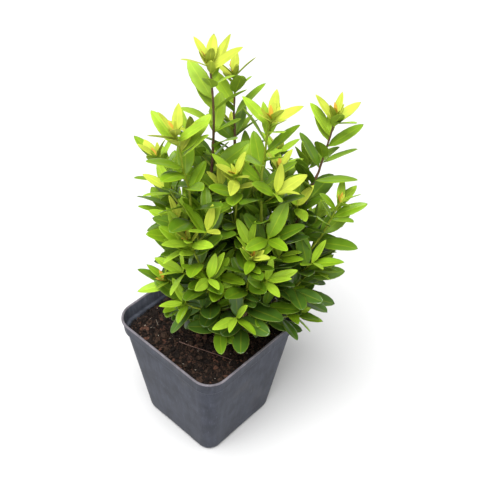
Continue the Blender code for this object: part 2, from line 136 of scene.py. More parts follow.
# Grains, lumps, splinters and threads: count, steps of roundness, least and greatest
# radius, how drawn out, shares of the dark, brown, reddish and pale ones
GRAINS = (
    (6000, 1, 0.00028, 0.00075, 1, (0.53, 0.33, 0.12, 0.02)),
    (1100, 1, 0.0007, 0.0015, 1, (0.59, 0.29, 0.12, 0)),
    (260, 2, 0.0012, 0.0024, 1, (0.6, 0.32, 0.08, 0)),
    (420, 1, 0.0004, 0.0008, 3, (0.4, 0.4, 0.2, 0)),
    (80, 1, 0.00018, 0.0003, 13, (0, 0.4, 0.3, 0.3)),
)
GRAIN_MARGIN = 0.0006
GRAIN_SEAT = 0.25  # share of its radius that a grain's middle stands above the peat
GRAIN_TILT = 0.5
GRAIN_SHAPE = ((1, 1.7), (0.6, 1), (0.5, 0.9))  # least and most along each axis
GRAIN_SWELL = (1.4, 0.55)  # pace and height of its unevenness
# Thin dead twig on the soil: its course, radius, height above the soil, bark
DEAD_TWIG = ((-0.0239, 0.004), (-0.0217, -0.0046), (-0.0176, -0.0115), (-0.0106, -0.0325))
DEAD_STEPS = 14
DEAD_RADII = (0.00042, 0.0002)
DEAD_LIFT = 0.0025
DEAD_TONE = ("bark_dead", (0.095, 0.05, 0.038), (0.23, 0.135, 0.105), 0.8, 900)

FOOT = Vector((0.0134, -0.0114, SOIL_TOP + GAP))
# Woody foot: height above its flat cut, radius, share that its ribs stand out
CROWN_RINGS = (
    (0, 0.006, 0.16),
    (0.0016, 0.0052, 0.12),
    (0.0045, 0.0044, 0.05),
    (0.009, 0.004, 0),
    (0.0125, 0.0036, 0),
    (0.014, 0.0022, 0),
)
CROWN_RIBS = 5
CROWN_STEPS = 22
CROWN_SIDES = 40
KNOT_GRID = (4, 300)  # how close the knots stand round the foot and up it
KNOTS = ((1, 0.07), (3.1, 0.05))  # pace, height
FOOT_TONE = ("bark_foot", (0.08, 0.038, 0.022), (0.32, 0.19, 0.12), 0.9, 600)

# Kinds of shoot: height where it leaves the foot, rise of its first and last run in
# degrees, radius there, share that is bare, side twigs, spacing of its leaves
KINDS = {
    "leader": (0.0118, 62, 80, 0.0015, 0.26, 4, 0.0092),
    "inner": (0.0145, 84, 80, 0.0014, 0.34, 3, 0.0092),
    "side": (0.007, 38, 68, 0.00125, 0.32, 3, 0.0084),
    "low": (0.004, 16, 50, 0.00105, 0.38, 2, 0.008),
}
# Shoots: name, kind, heading in degrees, reach from the foot and height in mm, first heading
SHOOTS = (
    ("top", "leader", 109, 20, 196, 118),
    ("front", "leader", -90, 20, 176, -94),
    ("left", "leader", 168, 42, 172, 178),
    ("right", "leader", -22, 60, 152, -32),
    ("back", "leader", 49, 46, 166, 40),
    ("middle", "inner", -150, 12, 138, -150),
    ("side_right", "side", -41, 60, 104, -57),
    ("side_front", "side", -123, 33, 94, -126),
    ("side_left", "side", -176, 44, 108, -166),
    ("side_back_left", "side", 105, 56, 120, 84),
    ("side_back_right", "side", 20, 62, 104, 14),
    ("side_near_right", "side", 2, 36, 112, -21),
    ("side_near_back", "side", 76, 34, 104, 49),
    ("side_near_left", "side", 144, 37, 100, 138),
    ("low_right", "low", -47, 50, 56, -42),
    ("low_front", "low", -63, 36, 34, -84),
    ("low_back_right", "low", -8, 64, 58, -4),
    ("low_back", "low", 71, 56, 58, 62),
    ("low_left", "low", 150, 46, 56, 148),
)
START_PULL = 0.33  # share of a shoot's span that its first direction holds
END_PULL = 0.36
WHOLE_STEPS = 40
BOUGH_STEPS = 7
BOUGH_SIDES = 5
STEM_STEP = 0.012  # length of one straight run of a leafy stem
STEM_SIDES = 3
TIP_RADIUS = 0.0005
WIGGLE = 0.001  # small bends along one shoot: size, pace, step between the shoots' own
WIGGLE_PACE = 7
WIGGLE_STEP = 3.1
WIGGLE_FULL = 0.25  # share of the shoot where they reach their full size

LEAF_LENGTH = 0.0285
SOLID_SHAPE = 0.48  # width over length of the plain solid leaf
LEAF_THICKNESS = 0.00045
LEAF_WIDEST = 0.47  # share of the length
LEAF_THICKEST = 0.36
LEAF_FOLD = 0.16
LEAF_DROOP = 0.07
LEAF_DIP = -0.1  # no leaf points further down than this
LEAF_FACING = 0.9  # how much the faces turn up rather than along the stem
BLADE_MIDDLE = 0.55
BLADE_SHARE = 0.72  # part of a leaf that others on the same shoot keep off
TURN = 137.5  # each leaf stands this far round the stem from the last
REACH = 0.048  # a leaf's tip lies within this of its own stem
SLACK = 0.007  # and at most this much nearer to another stem
TRIES = ((0, 1), (28, 1), (-28, 1), (55, 0.92), (-55, 0.92), (15, 0.78), (-75, 0.8))

# Leaves along a stem
LEAF_ENDS = (0.004, 0.006)  # left free at the start and the tip of the leafy run
LEAF_AGE = (0.25, 0.75)
LEAF_SPREAD = (40, 22, 6)  # young, added for the oldest, give or take
LEAF_SIZE = (0.8, 0.28, 1.6)  # young, added for old, how soon a leaf is full-grown
LEAF_CHANCE = (0.92, 1.06)
LEAF_PACE = (0.72, 0.4)  # spacing at the tip, added at the oldest end

# Rosette round a growing tip
STAR_LEAVES = 5
STAR_STEP = 0.0011
STAR_TURN = 144
STAR_SPREAD = (28, 7)  # innermost leaf, added for each next one
STAR_SIZE = (0.8, 0.08)
STAR_LENGTH = 0.66 * LEAF_LENGTH
STAR_AGE = 0.05
TIP_SEAT = 0.0002  # the innermost leaf sits this far below the tip

# Side twigs
TWIG_RADIUS = 0.0006
TWIG_TAPER = (1, 0.92, 0.85, 0.7)
TWIG_PLACES = (0.06, 0.62)  # first place and span, as shares of the leafy stem
TWIG_TURNS = (70, 222.5)  # first, and from one twig to the next
TWIG_LENGTH = (0.02, 0.03)
TWIG_SHORTER = 0.35  # how much shorter the highest twigs are
TWIG_START = (0.6, 0.8)  # along the stem, away from it
TWIG_BEND = 0.22
TWIG_AGE = (0.2, 0.6)  # added, share of the age of its place
TWIG_FIRST_TURN = 90
TWIG_STAR_LENGTH = 0.72 * LEAF_LENGTH

# Sprigs: short twigs with small leaves, finer than any in the solids
SPRIG_RADIUS = 0.00042
SPRIG_START = (0.5, 0.85)
SPRIG_BEND = 0.25
SPRIG_TURN = (60, 120)
# Leafy run as shares of the twig; spacing, spread and size of the leaves there
TWIG_LEAVES = ((0.35, 0.93), 0.0085, 55, (0.7, 0.88))
SPRIG_LEAVES = ((0.3, 0.95), 0.0062, 56, (0.7, 0.98))
SPRIG_TIP_LEAVES = 3
SPRIG_TIP_SIZE = (0.64, 0.92)
SPRIG_TIP_SPREAD = (34, 9)  # first leaf, added for each next one
SPRIG_TIP_YOUNGER = 0.15
SPRIG_SHIFT = (-0.5, 0.15)  # a sprig may look younger or older than its place
# Share of a bare bough where its sprigs begin
FILL_FROM = {"leader": 0.42, "inner": 0.42, "side": 0.66, "low": 1}
FILL_ENDS = (0.006, 0.012)  # left free at the start and the tip of the leafy run
# Step, age from which sprigs stand, their length, size and spread of single leaves, age
# of sprigs and of leaves with what the age of their place adds
FILL_BOUGH = (0.0105, 0, (0.01, 0.018), (0.75, 1), 60, (1, 0), (1, 0))
FILL_LEAFY = (0.015, 0.55, (0.008, 0.016), (0.65, 0.92), 48, (0.35, 0.6), (0.3, 0.7))
# Young leaves added at each tip: distance below it, length as a share, spread
TIP_FILL = (
    (0.0012, 0.3, 16),
    (0.0024, 0.36, 22),
    (0.004, 0.42, 28),
    (0.007, 0.5, 34),
    (0.012, 0.58, 40),
)
TIP_FILL_CHANCE = (0.88, 1.12)
TIP_FILL_AGE = (0.02, 12)  # at the tip, added for each metre below it

# Limbs shown: length of a step, spacing, swelling and sharpness of the leaf nodes
LIMB_STEP = 0.0018
NODE_SPACING = 0.0085
NODE_SWELL = 0.16
NODE_SHARPNESS = 8
SEAT_DEPTH = 0.0012  # of a bough's end in the foot
SEAT_SWELL = 1.15
LIMB_SIDES = 9
TWIG_SIDES = 6
BARK_RELIEF = (0.16, 0.1)  # of stems and of side twigs
BARK_WAVES = ((900, 1), (2100, 0.5))  # pace, share
# Shares of a limb where its bark turns brown, green and, on some shoots, reddish
BARK_MARKS = {"leader": (0.08, 0.26), "inner": (0.08, 0.26), "side": (0.12, 0.36), "low": (0.12, 0.36)}
RED_FROM = 0.42
RED_SHOOTS = ("top", "right", "back", "side_back_left")
ALL_GREEN = (-1, -1)
BARK_TONES = (
    ("bark_old", (0.09, 0.05, 0.026), (0.33, 0.22, 0.125), 0.85, 700),
    ("bark_brown", (0.11, 0.08, 0.018), (0.26, 0.22, 0.06), 0.65, 800),
    ("bark_green", (0.17, 0.23, 0.006), (0.33, 0.4, 0.03), 0.5, 800),
    ("bark_red", (0.06, 0.022, 0.014), (0.15, 0.075, 0.036), 0.5, 800),
)

# Fine leaves: stations along the length, fewer for small leaves, and columns across
STATIONS = (0, 0.035, 0.08, 0.15, 0.23, 0.31, 0.39, 0.47, 0.55, 0.63, 0.71, 0.79, 0.87, 0.94, 1)
FEW_STATIONS = (0, 0.045, 0.12, 0.24, 0.37, 0.5, 0.63, 0.76, 0.89, 1)
SMALL_LEAF = 0.019  # leaves shorter than this have fewer stations
COLUMNS = (-1, -0.88, -0.48, -0.065, 0.065, 0.48, 0.88, 1)
# Points round a leaf as column and side, 1 over and -1 under; then the slots between them
LEAF_RING = [(column, float(abs(column) < 1)) for column in COLUMNS]
LEAF_RING += [(column, -1) for column in COLUMNS[-2:0:-1]]
LEAF_SLOTS = (1, 0, 0, 1, 0, 0, 1, 2, 2, 2, 1, 2, 2, 2)
STALK_END = 0.07
STALK_HALF = 0.00042
BASE_POWER = (0.56, 0.08)  # of a young leaf's outline, added for an old one
TIP_POWER = (0.8, -0.25)
YOUNG_SHAPE = 0.32  # width over length
OLD_SHAPE = 0.43
WIDTH_CHANCE = (0.93, 1.1)
LEAF_ROLL = 0.3
BLADE_CHANCES = ((0.02, 0.16), (-0.25, 0.25), (0.14, 0.34), (0, 6))  # droop, twist, fold, ripple
CUPPING = 0.1  # how much the outer part of the blade turns down again
RIPPLE = 0.03
RIPPLE_PACE = 9
VEIN_SKEW = 0.07  # side veins lean towards the leaf's tip
VEIN_RELIEF = 0.00009
RIB_GROOVE = 0.00014
RIB_ZONE = 0.2  # columns nearer the middle than this lie in the rib's groove
VEIN_ZONE = 0.8
SKIN = 0.00011  # half the thickness of the blade
TOOTH = 0.965

TINT_MARKS = (("yellow", 0.02), ("lime", 0.25), ("fresh", 0.52), ("green", 0.84))
TINT_CHANCE = 0.12
TINT_BY_HEIGHT = 3
TINT_LEVEL = 0.1  # height above the soil where height doesn't count
# Part's slot, colour of the upper face, roughness, specular level
LEAF_LOOKS = {
    "yellow": ("young_leaves", (0.43, 0.5, 0.055), 0.5, 0.08),
    "lime": ("young_leaves", (0.275, 0.435, 0.026), 0.44, 0.16),
    "fresh": ("green_leaves", (0.172, 0.305, 0.01), 0.38, 0.26),
    "green": ("green_leaves", (0.098, 0.196, 0.008), 0.34, 0.34),
    "deep": ("old_leaves", (0.054, 0.12, 0.012), 0.28, 0.5),
    "bud": ("young_leaves", (0.56, 0.32, 0.04), 0.46, 0.14),
}
# Rib, margin and stalk, painted paler: the rib's own colour, and on the margin partly the leaf's pale
# rim and partly a painted highlight; and underside: share of the face's colour, and what is added
RIB_AND_MARGIN_HIGHLIGHT_TONE = (1, (0.07, 0.06, 0.003))
UNDER_TONE = (0.73, (0.032, 0.044, 0.004))
RIB_ROUGHER = 0.06
DULLER = 0.2  # how much rougher the underside is
UNDER_GLOSS = 0.2

# Buds at a growing tip: count, turn between them, what is added, spread, length
BUDS = 4
BUD_TURN = 100
BUD_CHANCE = (0, 40)
BUD_SPREAD = (0.25, 0.6)
BUD_LENGTH = (0.005, 0.009)
BUD_SEAT = 0.0004

# The photograph's viewpoint: the camera's place, its right, up and back, its lens in mm
EYE = Vector((-0.26435, -0.2619, 0.49949))
VIEW = ((0.685131, -0.727939, 0.026479), (0.477414, 0.4762, 0.738451), (-0.550156, -0.493294, 0.673787))
LENS = 62.317
SENSOR = 36

WORLD_LIGHT = 0.52
# Lights: name, place, width, power
LIGHTS = (
    ("key", (-0.75, -0.25, 2.75), 2, 138),
    ("front", (-1.8, -1.4, 1.2), 1.8, 16),
)
LIGHT_AIM = Vector((0.01, -0.01, 0.14))
FLOOR = 40
FLOOR_COLOUR = (0.62, 0.62, 0.62, 1.0)


def heading(degrees):
    turn = math.radians(degrees)
    return Vector((math.cos(turn), math.sin(turn), 0.0))


def swing(start, other, turn):
    """A direction turned towards another that is square to it."""
    return start * math.cos(turn) + other * math.sin(turn)


def rise(degrees, level):
    """A direction that climbs at this angle above a level one."""
    return swing(level, UP, math.radians(degrees)).normalized()


def around(stem, degrees):
    """A direction square to a stem, turned round it."""
    side = stem.orthogonal().normalized()
    return swing(side, stem.cross(side), math.radians(degrees))


def graded(grade, share):
    """A value from its start and from what a full share adds."""
    return grade[0] + grade[1] * share


def put(name, data):
    """An object of this data, placed in the scene."""
    made = bpy.data.objects.new(name, data)
    bpy.context.scene.collection.objects.link(made)
    return made


def mesh_of(name, points, faces):
    mesh = bpy.data.meshes.new(name)
    mesh.from_pydata(points, [], faces)
    return mesh


class Pile:
    """Points and faces of one joined piece, with a material slot per face."""

    def __init__(self):
        self.points = []
        self.faces = []
        self.slots = []

    def add(self, points, faces, slots):
        first = len(self.points)
        self.points.extend(points)
        self.faces.extend(tuple(first + corner for corner in face) for face in faces)
        self.slots.extend(slots)

    def add_plain(self, shape, slot=0):
        self.add(*shape, [slot] * len(shape[1]))

    def piece(self, name, looks, body_slot, replaced=(), smooth=True):
        """Make the piece in place of some of its nodes; body_slot, the part's slot, is not used."""
        mesh = mesh_of(name, self.points, self.faces)
        for look in looks:
            mesh.materials.append(look)
        mesh.polygons.foreach_set("material_index", self.slots)
        mesh.polygons.foreach_set("use_smooth", [smooth] * len(self.faces))
        made = put(name, mesh)
        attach(made, "root")
        if replaced:
            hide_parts(*replaced)
        return made


def square_ring(height, half, radius, notch=0.0):
    """One level outline, given in mm: rounded corners, and a notch in each side."""
    ring = []
    for side in range(4):
        along = heading(90.0 * side + 90.0)
        out = heading(90.0 * side)
        for place, share in NOTCH_STEPS:
            ring.append(out * (half - share * notch) + along * place + UP * height)
        centre = (out + along) * (half - radius) + UP * height
        for step in range(CORNER_STEPS + 1):
            ring.append(centre + heading(90.0 * side + 90.0 * step / CORNER_STEPS) * radius)
    return [point * MM for point in ring]


def loft(rings):
    """Skin a stack of equal rings and close both its ends."""
    count = len(rings[0])
    points = [point for ring in rings for point in ring]
    faces = []
    for level in range(len(rings) - 1):
        low = level * count
        high = low + count
        for place in range(count):
            after = (place + 1) % count
            faces.append((low + place, low + after, high + after, high + place))
    faces.append(tuple(reversed(range(count))))
    faces.append(tuple(range(len(points) - count, len(points))))
    return points, faces


def tube(path, radii, sides):
    """A closed limb along a path, with flat ends."""
    rings = []
    turns = [2.0 * math.pi * step / sides for step in range(sides)]
    side = (path[1] - path[0]).orthogonal().normalized()
    for place, centre in enumerate(path):
        before = path[max(place - 1, 0)]
        after = path[min(place + 1, len(path) - 1)]
        along = (after - before).normalized()
        side = (side - along * side.dot(along)).normalized()
        other = along.cross(side)
        rings.append([centre + swing(side, other, turn) * radii[place] for turn in turns])
    return loft(rings)


def crown_radius(height):
    levels = [ring[0] for ring in CROWN_RINGS]
    radii = [ring[1] * (1.0 + ring[2]) for ring in CROWN_RINGS]
    return float(np.interp(height, levels, radii))


def bezier(p0, p1, p2, p3, t):
    s = 1.0 - t
    return p0 * s ** 3 + p1 * (3.0 * s * s * t) + p2 * (3.0 * s * t * t) + p3 * t ** 3


def shoot_curve(shoot):
    """The smooth course of a shoot, from the woody foot to its tip."""
    kind, out, reach, height, first = shoot[1:]
    start_height, first_rise, last_rise, radius = KINDS[kind][:4]
    start = FOOT + UP * start_height
    if start_height < CROWN_RINGS[-1][0]:
        lean = radius * math.sin(math.radians(first_rise))
        start += heading(first) * (crown_radius(start_height) + lean + GAP)
    tip = FOOT + heading(out) * (MM * reach) + UP * (MM * height)
    span = (tip - start).length
    start_run = rise(first_rise, heading(first))
    end_run = rise(last_rise, heading(out))
    return start, start + start_run * (START_PULL * span), tip - end_run * (END_PULL * span), tip


def shoot_point(curve, bends, t):
    """A point on the shoot, with its small bends; none at its start."""
    sway_x = noise.noise(Vector((t * WIGGLE_PACE, bends, 0.0)))
    sway_y = noise.noise(Vector((t * WIGGLE_PACE, bends, 9.0)))
    share = 2.0 * WIGGLE * min(t / WIGGLE_FULL, 1.0)
    return bezier(*curve, t) + Vector((sway_x, sway_y, 0.0)) * share


def path_lengths(path):
    lengths = [0.0]
    for before, after in zip(path, path[1:]):
        lengths.append(lengths[-1] + (after - before).length)
    return lengths


def length_of(path):
    return path_lengths(path)[-1]


def along_path(path, distance):
    """The point and the direction of a path at a distance from its start."""
    lengths = path_lengths(path)
    place = 0
    while place < len(lengths) - 2 and lengths[place + 1] < distance:
        place += 1
    run = path[place + 1] - path[place]
    share = (distance - lengths[place]) / (lengths[place + 1] - lengths[place])
    return path[place] + run * share, run.normalized()


def spaced(start, end, steps):
    return [start + (end - start) * step / steps for step in range(steps + 1)]


def plan_shoot(number, shoot):
    """Work out a shoot's bare run and leafy run, with their radii."""
    name, kind = shoot[:2]
    radius, bare = KINDS[kind][3:5]
    curve = shoot_curve(shoot)

    def run_of(start, end, steps):
        bends = WIGGLE_STEP * number
        return [shoot_point(curve, bends, share) for share in spaced(start, end, steps)]

    whole = run_of(0.0, 1.0, WHOLE_STEPS)
    bough = run_of(0.0, bare, BOUGH_STEPS)
    last_run = (bough[-1] - bough[-2]).length
    leafy_from = bare + GAP / last_run * bare / BOUGH_STEPS
    runs = max(3, round(length_of(whole) * (1.0 - bare) / STEM_STEP))
    join = radius + (TIP_RADIUS - radius) * bare
    return SimpleNamespace(
        name=name,
        kind=kind,
        whole=whole,
        bough=bough,
        leafy=run_of(leafy_from, 1.0, runs),
        bough_radii=spaced(radius, join, BOUGH_STEPS),
        leafy_radii=spaced(join, TIP_RADIUS, runs),
    )


def distances(points, path):
    """Least distance of each point from a path given by close points."""
    gaps = np.array(points)[:, None, :] - np.array(path)[None, :, :]
    return np.linalg.norm(gaps, axis=2).min(axis=1)


def tree_of(shapes):
    pile = Pile()
    for shape in shapes:
        pile.add_plain(shape)
    return BVHTree.FromPolygons(pile.points, pile.faces)


def guard_of(path, radii, sides, clear=GAP):
    """A limb with its clearance."""
    return tube(path, [radius + clear for radius in radii], sides)


def plain_leaf(root, along, face, length):
    """The eight-sided leaf of the solids, which decides where a leaf finds room."""
    across = along.cross(face).normalized()
    half = 0.5 * SOLID_SHAPE * length
    thick = 0.5 * LEAF_THICKNESS
    widest = root + along * (LEAF_WIDEST * length) + face * (LEAF_FOLD * half)
    thickest = root + along * (LEAF_THICKEST * length)
    points = [
        root,
        root + along * length - face * (LEAF_DROOP * length),
        widest + across * half,
        widest - across * half,
        thickest + face * thick,
        thickest - face * thick,
    ]
    faces = [(0, 2, 4), (2, 1, 4), (1, 3, 4), (3, 0, 4), (2, 0, 5), (1, 2, 5), (3, 1, 5), (0, 3, 5)]
    return points, faces


def thick_leaf(shape):
    """The leaf with clearance on both faces and past its tip."""
    points, faces = shape
    face = (points[4] - points[5]).normalized()
    middle = sum(points, Vector()) / len(points)
    grown = [point + (point - middle).normalized() * (1.5 * GAP) for point in points]
    grown[4] += face * GAP
    grown[5] -= face * GAP
    return grown, faces


def blade(shape):
    """The outer part of a leaf, which others of its shoot keep off."""
    points, faces = shape
    middle = points[0].lerp(points[1], BLADE_MIDDLE)
    return [middle.lerp(point, BLADE_SHARE) for point in points], faces


class Growth:
    """Twigs and leaves of one shoot, kept clear of all that stands round it."""

    def __init__(self, plan, rivals, fixed, blades=()):
        self.own = plan.whole
        self.rivals = rivals
        self.fixed = fixed
        self.twigs = []
        self.leaves = []
        self.dressed = []
        self.blades = list(blades)
        self.blade_tree = tree_of(self.blades)

    def in_space(self, points):
        mine = distances(points, self.own)
        return mine.max() <= REACH and all(
            (mine - distances(points, rival)).max() <= SLACK for rival in self.rivals
        )

    def add_leaf(self, root, stem, round_turn, spread, length, age):
        """Try a leaf at this turn round the stem, then near it, then smaller."""
        for nudge, share in TRIES:
            along = swing(stem, around(stem, round_turn + nudge), math.radians(spread)).normalized()
            if along.z < LEAF_DIP:
                along = (along + UP * (LEAF_DIP - along.z)).normalized()
            face = stem + UP * LEAF_FACING
            face = (face - along * face.dot(along)).normalized()
            shape = plain_leaf(root - along * GAP, along, face, length * share)
            if not self.in_space(shape[0][1:4]):
                continue
            if self.fixed.overlap(tree_of([thick_leaf(shape)])):
                continue
            outer = blade(shape)
            if self.blade_tree.overlap(tree_of([outer])):
                continue
            self.leaves.append(shape)
            self.blades.append(outer)
            self.blade_tree = tree_of(self.blades)
            self.dressed.append((root, along, face, length * share, age))
            return

    def add_twig(self, path, radii):
        guard = guard_of(path, radii, STEM_SIDES, 2.0 * GAP)
        if not self.in_space(path) or self.fixed.overlap(tree_of([guard])):
            return False
        self.twigs.append((path, radii))
        return True


def twig_path(root, stem, turn, start, bend, length):
    """A side twig's course: it leaves the stem and bends up."""
    run = (stem * start[0] + around(stem, turn) * start[1]).normalized()
    path = [root]
    for _ in TWIG_TAPER[1:]:
        run = (run + UP * bend).normalized()
        path.append(path[-1] + run * (length / (len(TWIG_TAPER) - 1)))
    return path


def star(growth, tip, stem, turn, length, count):
    """The rosette of young leaves round a tip, the innermost the smallest."""
    for place in range(count):
        root = tip - stem * (STAR_STEP * place)
        spread = graded(STAR_SPREAD, place)
        size = length * graded(STAR_SIZE, place)
        growth.add_leaf(root, stem, turn + STAR_TURN * place, spread, size, STAR_AGE * place)


def dress_twig(growth, rng, path, turn, age, leafy, spacing, spread, sizes):
    """Leaves along a side twig; gives its tip, its direction there and the next turn."""
    length = length_of(path)
    place = leafy[0] * length
    while place < leafy[1] * length:
        size = LEAF_LENGTH * rng.uniform(*sizes)
        growth.add_leaf(*along_path(path, place), turn, spread, size, age)
        turn += TURN
        place += spacing
    return *along_path(path, length - TIP_SEAT), turn


def grow_twig(growth, rng, root, stem, turn, length, age):
    """A side twig that bears leaves and ends in a rosette."""
    path = twig_path(root, stem, turn, TWIG_START, TWIG_BEND, length)
    if not growth.add_twig(path, [TWIG_RADIUS * share for share in TWIG_TAPER]):
        return
    turn += TWIG_FIRST_TURN
    tip, along, turn = dress_twig(growth, rng, path, turn, graded(TWIG_AGE, age), *TWIG_LEAVES)
    star(growth, tip, along, turn, TWIG_STAR_LENGTH, STAR_LEAVES - 1)


def grow_shoot(growth, plan, number):
    """Leaves all along the stem, side twigs on its lower part, a rosette on top."""
    rng = random.Random(100 + number)
    twigs, spacing = KINDS[plan.kind][5:]
    path = plan.leafy
    total = length_of(path)
    turn = rng.uniform(0.0, 360.0)
    star(growth, *along_path(path, total - TIP_SEAT), turn, STAR_LENGTH, STAR_LEAVES)
    for twig in range(twigs):
        place = total * (TWIG_PLACES[0] + TWIG_PLACES[1] * twig / twigs)
        length = rng.uniform(*TWIG_LENGTH) * (1.0 - TWIG_SHORTER * place / total)
        twig_turn = turn + TWIG_TURNS[0] + TWIG_TURNS[1] * twig
        grow_twig(growth, rng, *along_path(path, place), twig_turn, length, 1.0 - place / total)
    place = LEAF_ENDS[0]
    while place < total - LEAF_ENDS[1]:
        age = 1.0 - place / total
        spread = graded(LEAF_SPREAD, age) + rng.uniform(-LEAF_SPREAD[2], LEAF_SPREAD[2])
        size = graded(LEAF_SIZE, min(LEAF_SIZE[2] * age, 1.0))
        length = LEAF_LENGTH * size * rng.uniform(*LEAF_CHANCE)
        growth.add_leaf(*along_path(path, place), turn, spread, length, graded(LEAF_AGE, age))
        turn += TURN
        place += spacing * graded(LEAF_PACE, age)


def grow_sprig(growth, rng, root, stem, turn, length, age):
    """A short side twig with small leaves, finer than any in the solids."""
    age += rng.uniform(*SPRIG_SHIFT)
    path = twig_path(root, stem, turn, SPRIG_START, SPRIG_BEND, length)
    if not growth.add_twig(path, [SPRIG_RADIUS * share for share in TWIG_TAPER]):
        return
    turn += rng.uniform(*SPRIG_TURN)
    tip, along, turn = dress_twig(growth, rng, path, turn, age, *SPRIG_LEAVES)
    for place in range(SPRIG_TIP_LEAVES):
        size = LEAF_LENGTH * rng.uniform(*SPRIG_TIP_SIZE)
        spread = graded(SPRIG_TIP_SPREAD, place)
        growth.add_leaf(tip, along, turn, spread, size, age - SPRIG_TIP_YOUNGER)
        turn += 360.0 / SPRIG_TIP_LEAVES


def fill_run(growth, rng, path, turn, place, end, run):
    """Small leaves along a run, and sprigs on its old part; gives the next turn."""
    step, old, sprigs, sizes, spread, sprig_ages, leaf_ages = run
    while place < end:
        point, along = along_path(path, place)
        age = 1.0 - place / length_of(path)
        if age > old:
            length = rng.uniform(*sprigs)
            grow_sprig(growth, rng, point, along, turn, length, graded(sprig_ages, age))
        size = LEAF_LENGTH * rng.uniform(*sizes)
        growth.add_leaf(point, along, turn + 180.0, spread, size, graded(leaf_ages, age))
        turn += TURN
        place += step
    return turn


def fill_shoot(growth, plan, number):
    """Small leaves and sprigs between the main ones, on the bough too, and young tips."""
    rng = random.Random(500 + number)
    turn = rng.uniform(0.0, 360.0)
    path = plan.bough
    total = length_of(path)
    turn = fill_run(growth, rng, path, turn, FILL_FROM[plan.kind] * total, total, FILL_BOUGH)
    path = plan.leafy
    total = length_of(path)
    fill_run(growth, rng, path, turn, FILL_ENDS[0], total - FILL_ENDS[1], FILL_LEAFY)
    turn = rng.uniform(0.0, 360.0)
    for depth, size, spread in TIP_FILL:
        length = LEAF_LENGTH * size * rng.uniform(*TIP_FILL_CHANCE)
        age = graded(TIP_FILL_AGE, depth)
        growth.add_leaf(*along_path(path, total - depth), turn, spread, length, age)
        turn += TURN


def shape_of(thing):
    points = [vertex.co.copy() for vertex in thing.data.vertices]
    faces = [tuple(face.vertices) for face in thing.data.polygons]
    return points, faces


def grow_all():
    """All shoots by the rule of the solids, then the finer growth between them."""
    plans = [plan_shoot(number, shoot) for number, shoot in enumerate(SHOOTS)]
    bodies = [shape_of(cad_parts[name]) for name in ("pot", "soil", "root_crown")]
    standing = list(bodies)
    for plan in plans:
        standing.append(guard_of(plan.bough[:-1], plan.bough_radii[:-1], BOUGH_SIDES))
    stems = [(plan.leafy, plan.leafy_radii) for plan in plans]
    growths = []
    for number, plan in enumerate(plans):
        rivals = [other.whole for other in plans if other is not plan]
        others = [guard_of(*stem, STEM_SIDES) for stem in stems[number + 1:]]
        growth = Growth(plan, rivals, tree_of(standing + others))
        grow_shoot(growth, plan, number)
        standing.extend(tube(*limb, STEM_SIDES) for limb in [stems[number]] + growth.twigs)
        standing.extend(growth.leaves)
        growths.append(growth)
    blades = [shape for growth in growths for shape in growth.blades]
    boughs = [tube(plan.bough, plan.bough_radii, BOUGH_SIDES) for plan in plans]
    for number, plan in enumerate(plans):
        others = boughs[:number] + boughs[number + 1:]
        fill = Growth(plan, [], tree_of(bodies + others), blades)
        fill_shoot(fill, plan, number)
        blades = fill.blades
        growths[number].dressed.extend(fill.dressed)
        growths[number].twigs.extend(fill.twigs)
    return plans, growths


class Look:
    """A node material, built up from noises in the object's own coordinates."""

    def __init__(self, name, roughness, gloss):
        self.made = bpy.data.materials.new(name)
        self.made.use_nodes = True
        self.shader = self.made.node_tree.nodes["Principled BSDF"]
        self.shader.inputs["Roughness"].default_value = roughness
        self.shader.inputs["Specular IOR Level"].default_value = gloss
        self.coords = self.node("TexCoord", {}, "Object")

    def node(self, kind, inputs, output, **settings):
        """Add a node; each of its inputs is given a value or another node's output."""
        node = self.made.node_tree.nodes.new("ShaderNode" + kind)
        for setting, value in settings.items():
            setattr(node, setting, value)
        for socket, value in inputs.items():
            if isinstance(value, bpy.types.NodeSocket):
                self.link(value, node.inputs[socket])
            else:
                node.inputs[socket].default_value = value
        return node.outputs[output]

    def link(self, source, socket):
        self.made.node_tree.links.new(source, socket)

    def noise(self, scale, detail, upright=1.0):
        """Noise that a small upright share draws out upright."""
        spot = self.node("Mapping", {"Vector": self.coords, "Scale": (1.0, 1.0, upright)}, "Vector")
        return self.node("TexNoise", {"Vector": spot, "Scale": scale, "Detail": detail}, "Fac")

    def layer(self, under, source, start, end, share, colour):
        """Lay a colour over another where a noise is high, up to a share."""
        span = {"Value": source, "From Min": start, "From Max": end, "To Max": share}
        sockets = {"Factor": self.node("MapRange", span, "Result"), "A": under, "B": (*colour, 1.0)}
        return self.node("Mix", sockets, "Result", data_type="RGBA")

    def paint(self, tone):
        self.link(tone, self.shader.inputs["Base Color"])

    def bump(self, source, strength, distance):
        relief = {"Height": source, "Strength": strength, "Distance": distance}
        self.link(self.node("Bump", relief, "Normal"), self.shader.inputs["Normal"])


def shade(colour, share, added=(0.0, 0.0, 0.0)):
    return tuple(value * share + more for value, more in zip(colour, added))


def grainy_look(name, dark, light, roughness, gloss, grain, relief, bump):
    """Two tones that follow one noise, and relief that follows another."""
    look = Look(name, roughness, gloss)
    look.paint(look.layer((*dark, 1.0), look.noise(*grain), 0.32, 0.70, 1.0, light))
    look.bump(look.noise(*relief), *bump)
    return look.made


def leaf_look(name, colour, roughness, gloss):
    tones = (shade(colour, 0.80), shade(colour, 1.16))
    return grainy_look(name, *tones, roughness, gloss, (90.0, 2.0), (900.0, 2.0), (0.25, 0.00012))


def bark_look(name, dark, light, roughness, scale):
    grain = (scale, 5.0, 0.25)
    return grainy_look(name, dark, light, roughness, 0.5, grain, grain, (0.6, 0.0004))


def peat_look(name, dark, light, scale):
    grain = (scale, 8.0)
    return grainy_look(name, dark, light, 0.9, 0.20, grain, grain, (0.8, 0.0006))


